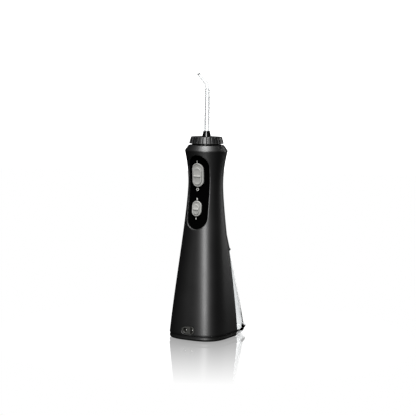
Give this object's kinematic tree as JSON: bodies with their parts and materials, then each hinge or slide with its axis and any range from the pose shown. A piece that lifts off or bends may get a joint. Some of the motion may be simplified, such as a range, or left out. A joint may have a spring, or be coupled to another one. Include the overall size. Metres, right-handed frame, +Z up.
{
  "type": "water flosser",
  "caption": "Cordless water flosser with a tapered black handle, two grey sliders, a turning knob, a bent clear jet tip and a clear rear water tank.",
  "frame": {"origin": "on the axis of the knob and tip, on the plane the flosser stands on", "axes": "+Z up along the tip, -Y towards the control panel, +Y towards the water tank, +X to the right of someone who faces the controls"},
  "size_m": [0.0674, 0.0943, 0.2959],
  "materials": {
    "satin_black": "satin moulded, soft sheen",
    "gloss_black": "high gloss",
    "base_black": "fine matt",
    "slider_grey": "soft touch elastomer",
    "clear_plastic": "clear moulded plastic",
    "white_plastic": "natural moulded",
    "rubber": "matt",
    "steel": "plated, smooth",
    "brass": "machined",
    "cell_wrap": "shrink sleeve",
    "circuit_green": "solder mask"
  },
  "bodies": {
    "handle": {"handle_shell": "satin_black", "base_cover": "base_black", "base_screw_1": "steel", "base_screw_2": "steel", "base_screw_3": "steel", "base_screw_4": "steel", "control_panel": "gloss_black", "power_boot": "slider_grey", "pressure_boot": "slider_grey", "charge_port": "gloss_black", "contact_pin_left": "steel", "contact_pin_right": "steel", "neck_outlet": "gloss_black", "eject_guide": "white_plastic", "eject_spring": "steel", "motor_can": "steel", "motor_end_cap": "white_plastic", "motor_mount": "white_plastic", "gear_axle": "steel", "chassis_plate": "white_plastic", "pump_cylinder": "white_plastic", "pump_head": "white_plastic", "inlet_hose": "rubber", "pressure_hose": "rubber", "outlet_hose": "rubber", "pressure_valve": "white_plastic", "battery_cell_left": "cell_wrap", "battery_cell_right": "cell_wrap", "battery_clip_lower": "steel", "battery_clip_upper": "steel", "circuit_board": "circuit_green", "power_switch": "white_plastic", "spout_seal": "rubber"},
    "power_slide_body": {"power_slider": "slider_grey"},
    "pressure_slide_body": {"pressure_slider": "slider_grey"},
    "knob": {"rotation_knob": "satin_black", "tip_socket": "gloss_black"},
    "tip": {"jet_tip": "clear_plastic"},
    "eject": {"eject_button": "satin_black"},
    "gear": {"drive_gear": "white_plastic"},
    "rotor": {"motor_pinion": "brass", "motor_shaft": "steel"},
    "piston_body": {"piston": "white_plastic", "piston_seal": "rubber"},
    "inlet_ball": {"inlet_valve_ball": "steel"},
    "outlet_ball": {"outlet_valve_ball": "steel"},
    "tank": {"water_tank": "clear_plastic", "tank_cap": "satin_black", "suction_tube": "clear_plastic", "door_hinge_pin": "steel"},
    "door": {"fill_door": "satin_black", "door_seal": "rubber"}
  },
  "joints": [
    {"name": "power_slide", "type": "slide", "parent": "handle", "child": "power_slide_body", "axis": [0, 0, 1], "range_m": [0, 0.0027]},
    {"name": "pressure_slide", "type": "slide", "parent": "handle", "child": "pressure_slide_body", "axis": [0, 0, 1], "range_m": [0, 0.0016]},
    {"name": "knob_spin", "type": "hinge", "parent": "handle", "child": "knob", "pos_m": [0, 0, 0.2177], "axis": [0, 0, 1], "continuous": true},
    {"name": "tip_pull", "type": "slide", "parent": "knob", "child": "tip", "axis": [0, 0, 1], "range_m": [0, 0.03]},
    {"name": "eject_press", "type": "slide", "parent": "handle", "child": "eject", "axis": [0, -1, 0], "range_m": [0, 0.002], "stiffness_N_per_m": 300, "springref_m": -0.001},
    {"name": "gear_spin", "type": "hinge", "parent": "handle", "child": "gear", "pos_m": [0, 0.003, 0.05437], "axis": [0, 1, 0], "continuous": true},
    {"name": "rotor_spin", "type": "hinge", "parent": "handle", "child": "rotor", "pos_m": [0, 0.003, 0.038], "axis": [0, 1, 0], "continuous": true},
    {"name": "piston_slide", "type": "slide", "parent": "handle", "child": "piston_body", "axis": [0, 0, 1], "range_m": [-0.0035, 0.0035]},
    {"name": "inlet_ball_lift", "type": "slide", "parent": "handle", "child": "inlet_ball", "axis": [0, 0, 1], "range_m": [0, 0.001]},
    {"name": "outlet_ball_lift", "type": "slide", "parent": "handle", "child": "outlet_ball", "axis": [0, 0, 1], "range_m": [0, 0.001]},
    {"name": "tank_slide", "type": "slide", "parent": "handle", "child": "tank", "axis": [0, 1, 0], "range_m": [0, 0.06]},
    {"name": "door_hinge", "type": "hinge", "parent": "tank", "child": "door", "pos_m": [0, 0.02328, 0.1101], "axis": [1, 0, 0], "range_deg": [0, 80]}
  ],
  "couplings": [
    {"joint": "rotor_spin", "follows": "gear_spin", "ratio": -4}
  ]
}
